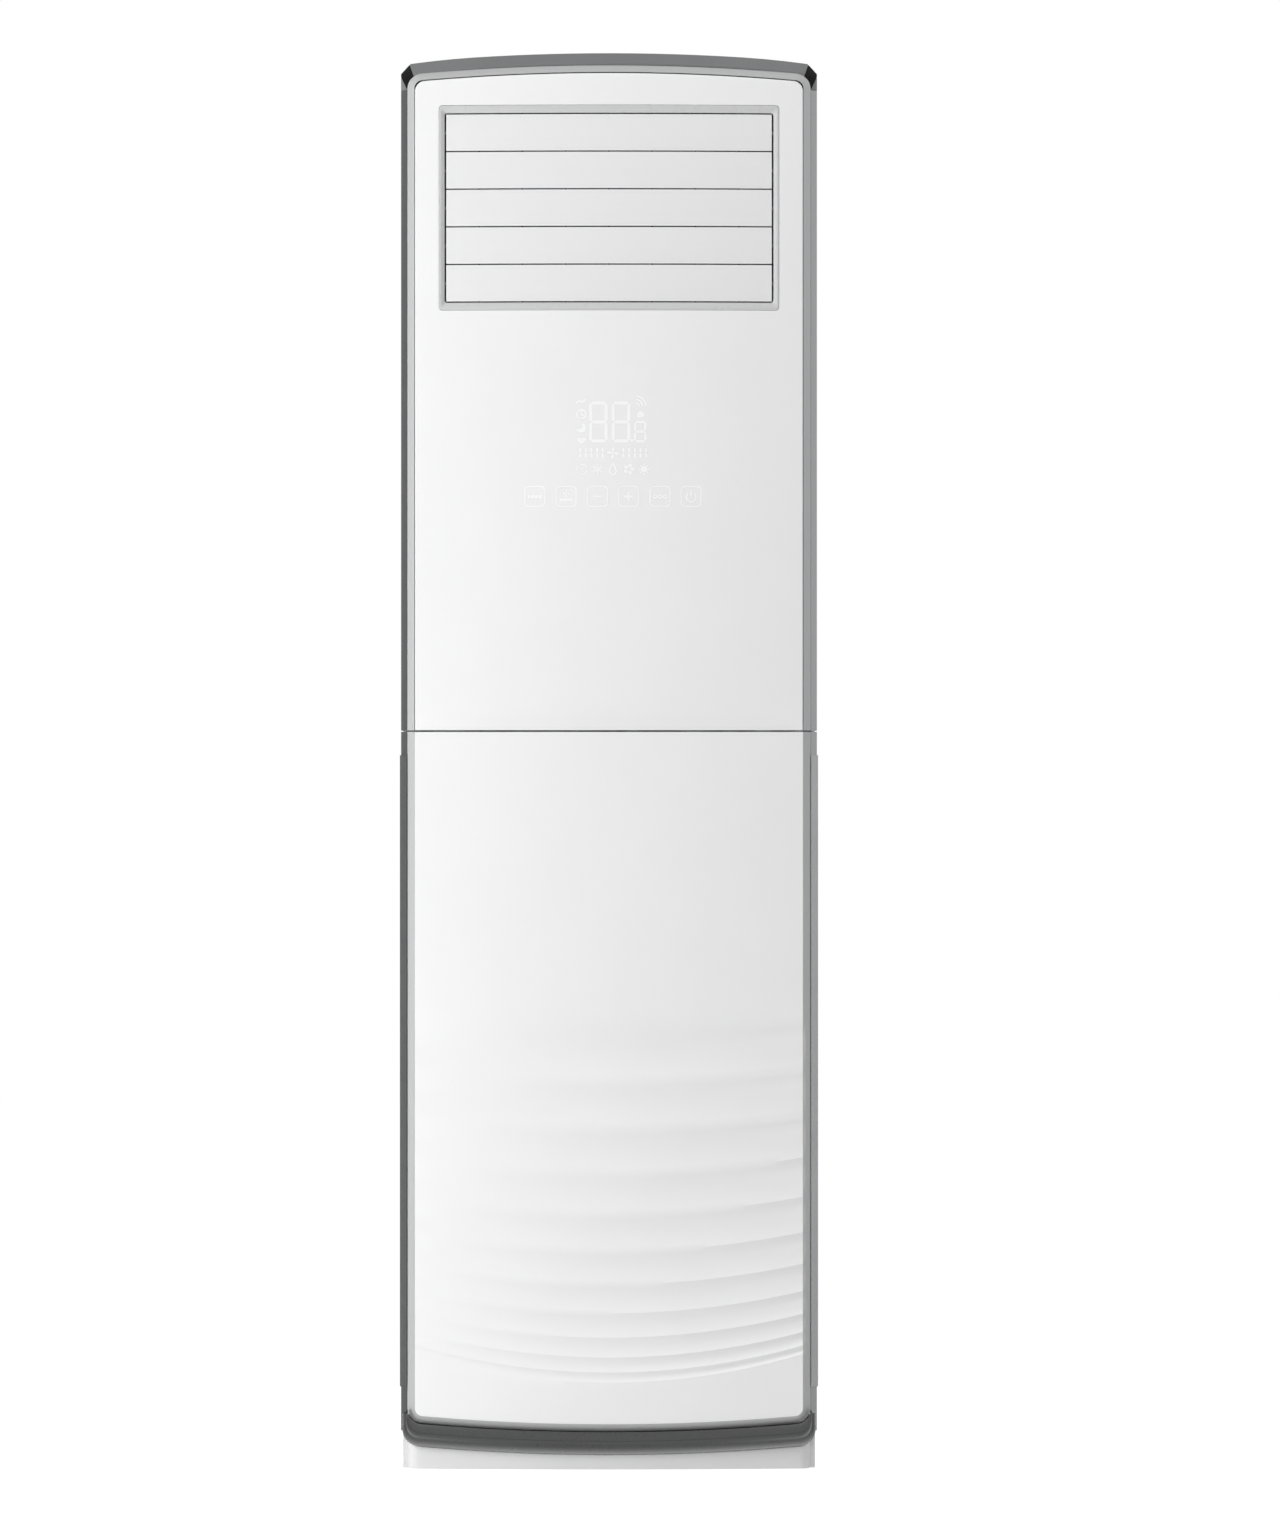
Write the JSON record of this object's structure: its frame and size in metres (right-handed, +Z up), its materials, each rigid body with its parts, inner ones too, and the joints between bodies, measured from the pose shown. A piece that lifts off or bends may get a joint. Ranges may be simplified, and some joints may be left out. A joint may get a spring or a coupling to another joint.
{
  "type": "floor standing air conditioner",
  "caption": "Tall floor standing air conditioner with a bowed white front, louvred outlet at the top, rippled lift-off lower panel, side intake grilles and a plinth.",
  "frame": {"origin": "on the floor under the middle of the cabinet's outer box", "axes": "+Z up, -Y towards the room (the front), +X to the right seen from the front"},
  "size_m": [0.54, 0.41, 1.825],
  "materials": {
    "white_face": "gloss white moulding",
    "white_louvre": "satin white moulding",
    "rim_grey": "silver-grey satin moulding",
    "shell_grey": "silver-grey powder coat on sheet steel",
    "cover_grey": "grey moulded cover",
    "cap_black": "near-black gloss",
    "band_dark": "dark grey moulding",
    "plinth_white": "white powder coat",
    "galvanised": "galvanised sheet",
    "grille_grey": "dark grey moulding",
    "filter_mesh": "woven nylon mesh in a frame",
    "black_plastic": "black moulding",
    "wheel_plastic": "black filled plastic",
    "steel": "bright steel",
    "motor_paint": "dark paint",
    "fin_aluminium": "coated fins",
    "copper": "copper tube",
    "foam": "expanded foam",
    "board": "circuit board",
    "terminal": "cream moulding",
    "capacitor": "plain can",
    "rubber": "black rubber"
  },
  "bodies": {
    "cabinet": {"base_pan": "plinth_white", "bell_mouth": "galvanised", "bottom_band": "band_dark", "cable_gland": "black_plastic", "casing_screws": "steel", "coil_end_plates": "galvanised", "display_board": "board", "drain_pan": "black_plastic", "electric_box": "galvanised", "electric_box_lid": "galvanised", "evaporator_fins": "fin_aluminium", "evaporator_tubes": "copper", "fan_deck": "galvanised", "fan_motor": "motor_paint", "front_cross_rail": "galvanised", "gas_pipe": "copper", "left_corner_cap": "cap_black", "left_lower_side": "shell_grey", "left_upper_side": "shell_grey", "liquid_pipe": "copper", "louvre_motor": "steel", "main_board": "board", "motor_bracket": "galvanised", "outlet_duct": "foam", "outlet_frame": "rim_grey", "pipe_port_ring": "rubber", "rear_panel": "galvanised", "right_corner_cap": "cap_black", "right_lower_side": "shell_grey", "right_upper_side": "shell_grey", "run_capacitor": "capacitor", "scroll_casing": "galvanised", "terminal_block": "terminal", "top_cover": "cover_grey", "upper_face_panel": "white_face", "upper_frame": "rim_grey", "vane_motor": "steel", "wall_bracket": "galvanised"},
    "lower_panel": {"lower_front_panel": "white_face"},
    "right_intake": {"right_intake_grille": "grille_grey", "right_air_filter": "filter_mesh"},
    "left_intake": {"left_intake_grille": "grille_grey", "left_air_filter": "filter_mesh"},
    "blower": {"blower_wheel": "wheel_plastic", "fan_shaft": "steel", "wheel_nut": "steel"},
    "louvre_link": {"louvre_link_bar": "black_plastic"},
    "vane_link": {"vane_link_bar": "black_plastic"},
    "louvre_1": {"louvre_blade_1": "white_louvre"},
    "louvre_2": {"louvre_blade_2": "white_louvre"},
    "louvre_3": {"louvre_blade_3": "white_louvre"},
    "louvre_4": {"louvre_blade_4": "white_louvre"},
    "louvre_5": {"louvre_blade_5": "white_louvre"},
    "vane_1": {"swing_vane_1": "black_plastic"},
    "vane_2": {"swing_vane_2": "black_plastic"},
    "vane_3": {"swing_vane_3": "black_plastic"},
    "vane_4": {"swing_vane_4": "black_plastic"},
    "vane_5": {"swing_vane_5": "black_plastic"},
    "vane_6": {"swing_vane_6": "black_plastic"},
    "vane_7": {"swing_vane_7": "black_plastic"}
  },
  "joints": [
    {"name": "louvre_1_turn", "type": "hinge", "parent": "cabinet", "child": "louvre_1", "pos_m": [0, -0.176, 1.528], "axis": [1, 0, 0], "range_deg": [0, 85]},
    {"name": "louvre_2_turn", "type": "hinge", "parent": "cabinet", "child": "louvre_2", "pos_m": [0, -0.176, 1.5765], "axis": [1, 0, 0], "range_deg": [0, 85]},
    {"name": "louvre_3_turn", "type": "hinge", "parent": "cabinet", "child": "louvre_3", "pos_m": [0, -0.176, 1.625], "axis": [1, 0, 0], "range_deg": [0, 85]},
    {"name": "louvre_4_turn", "type": "hinge", "parent": "cabinet", "child": "louvre_4", "pos_m": [0, -0.176, 1.6735], "axis": [1, 0, 0], "range_deg": [0, 85]},
    {"name": "louvre_5_turn", "type": "hinge", "parent": "cabinet", "child": "louvre_5", "pos_m": [0, -0.176, 1.722], "axis": [1, 0, 0], "range_deg": [0, 85]},
    {"name": "louvre_link_swing", "type": "hinge", "parent": "louvre_3", "child": "louvre_link", "pos_m": [-0.223, -0.16715, 1.61689], "axis": [1, 0, 0], "range_deg": [-85, 0]},
    {"name": "vane_1_swing", "type": "hinge", "parent": "cabinet", "child": "vane_1", "pos_m": [-0.168, -0.118, 1.625], "axis": [0, 0, 1], "range_deg": [-40, 40]},
    {"name": "vane_2_swing", "type": "hinge", "parent": "cabinet", "child": "vane_2", "pos_m": [-0.112, -0.118, 1.625], "axis": [0, 0, 1], "range_deg": [-40, 40]},
    {"name": "vane_3_swing", "type": "hinge", "parent": "cabinet", "child": "vane_3", "pos_m": [-0.056, -0.118, 1.625], "axis": [0, 0, 1], "range_deg": [-40, 40]},
    {"name": "vane_4_swing", "type": "hinge", "parent": "cabinet", "child": "vane_4", "pos_m": [0, -0.118, 1.625], "axis": [0, 0, 1], "range_deg": [-40, 40]},
    {"name": "vane_5_swing", "type": "hinge", "parent": "cabinet", "child": "vane_5", "pos_m": [0.056, -0.118, 1.625], "axis": [0, 0, 1], "range_deg": [-40, 40]},
    {"name": "vane_6_swing", "type": "hinge", "parent": "cabinet", "child": "vane_6", "pos_m": [0.112, -0.118, 1.625], "axis": [0, 0, 1], "range_deg": [-40, 40]},
    {"name": "vane_7_swing", "type": "hinge", "parent": "cabinet", "child": "vane_7", "pos_m": [0.168, -0.118, 1.625], "axis": [0, 0, 1], "range_deg": [-40, 40]},
    {"name": "vane_link_swing", "type": "hinge", "parent": "vane_4", "child": "vane_link", "pos_m": [0, -0.104, 1.489], "axis": [0, 0, 1], "range_deg": [-40, 40]},
    {"name": "blower_spin", "type": "hinge", "parent": "cabinet", "child": "blower", "pos_m": [0.03, 0.06, 0.5], "axis": [0, -1, 0], "continuous": true},
    {"name": "lower_panel_lift_off", "type": "slide", "parent": "cabinet", "child": "lower_panel", "axis": [0, -1, 0], "range_m": [0, 0.15]},
    {"name": "right_intake_lift_off", "type": "slide", "parent": "cabinet", "child": "right_intake", "axis": [1, 0, 0], "range_m": [0, 0.08]},
    {"name": "left_intake_lift_off", "type": "slide", "parent": "cabinet", "child": "left_intake", "axis": [-1, 0, 0], "range_m": [0, 0.08]}
  ],
  "couplings": [
    {"joint": "louvre_1_turn", "follows": "louvre_3_turn", "ratio": 1},
    {"joint": "louvre_2_turn", "follows": "louvre_3_turn", "ratio": 1},
    {"joint": "louvre_4_turn", "follows": "louvre_3_turn", "ratio": 1},
    {"joint": "louvre_5_turn", "follows": "louvre_3_turn", "ratio": 1},
    {"joint": "louvre_link_swing", "follows": "louvre_3_turn", "ratio": -1},
    {"joint": "vane_1_swing", "follows": "vane_4_swing", "ratio": 1},
    {"joint": "vane_2_swing", "follows": "vane_4_swing", "ratio": 1},
    {"joint": "vane_3_swing", "follows": "vane_4_swing", "ratio": 1},
    {"joint": "vane_5_swing", "follows": "vane_4_swing", "ratio": 1},
    {"joint": "vane_6_swing", "follows": "vane_4_swing", "ratio": 1},
    {"joint": "vane_7_swing", "follows": "vane_4_swing", "ratio": 1},
    {"joint": "vane_link_swing", "follows": "vane_4_swing", "ratio": -1}
  ]
}
